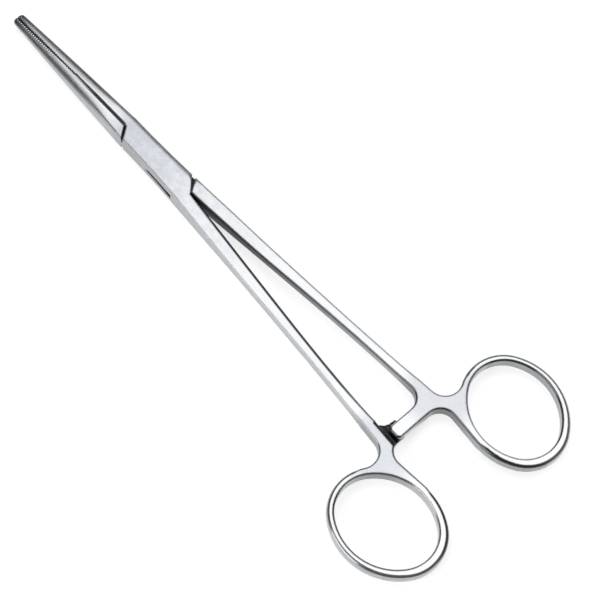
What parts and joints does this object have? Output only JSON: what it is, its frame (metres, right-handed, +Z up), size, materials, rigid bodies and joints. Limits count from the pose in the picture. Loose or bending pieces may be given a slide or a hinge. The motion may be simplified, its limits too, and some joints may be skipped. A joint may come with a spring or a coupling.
{
  "type": "hemostat forceps",
  "caption": "Straight hemostat forceps: serrated jaws, box lock, slim shanks, ratchet arms and oval finger rings, opening about a flush rivet pin.",
  "frame": {"origin": "on the pivot axis, in the plane of the lock's flat back face, which the forceps rests on", "axes": "+X towards the jaw tips, +Y towards the ring of the half that carries the lock, +Z up from the back face along the pivot axis"},
  "size_m": [0.2004, 0.0766, 0.0058],
  "materials": {
    "satin_steel": "satin-polished stainless steel with a fine lengthwise grain"
  },
  "bodies": {
    "female": {"female_half": "satin_steel", "pivot_pin": "satin_steel"},
    "male": {"male_half": "satin_steel"}
  },
  "joints": [
    {"name": "box_lock", "type": "hinge", "parent": "female", "child": "male", "pos_m": [0, 0, 0.0029], "axis": [0, 0, 1], "range_deg": [0, 60]}
  ]
}
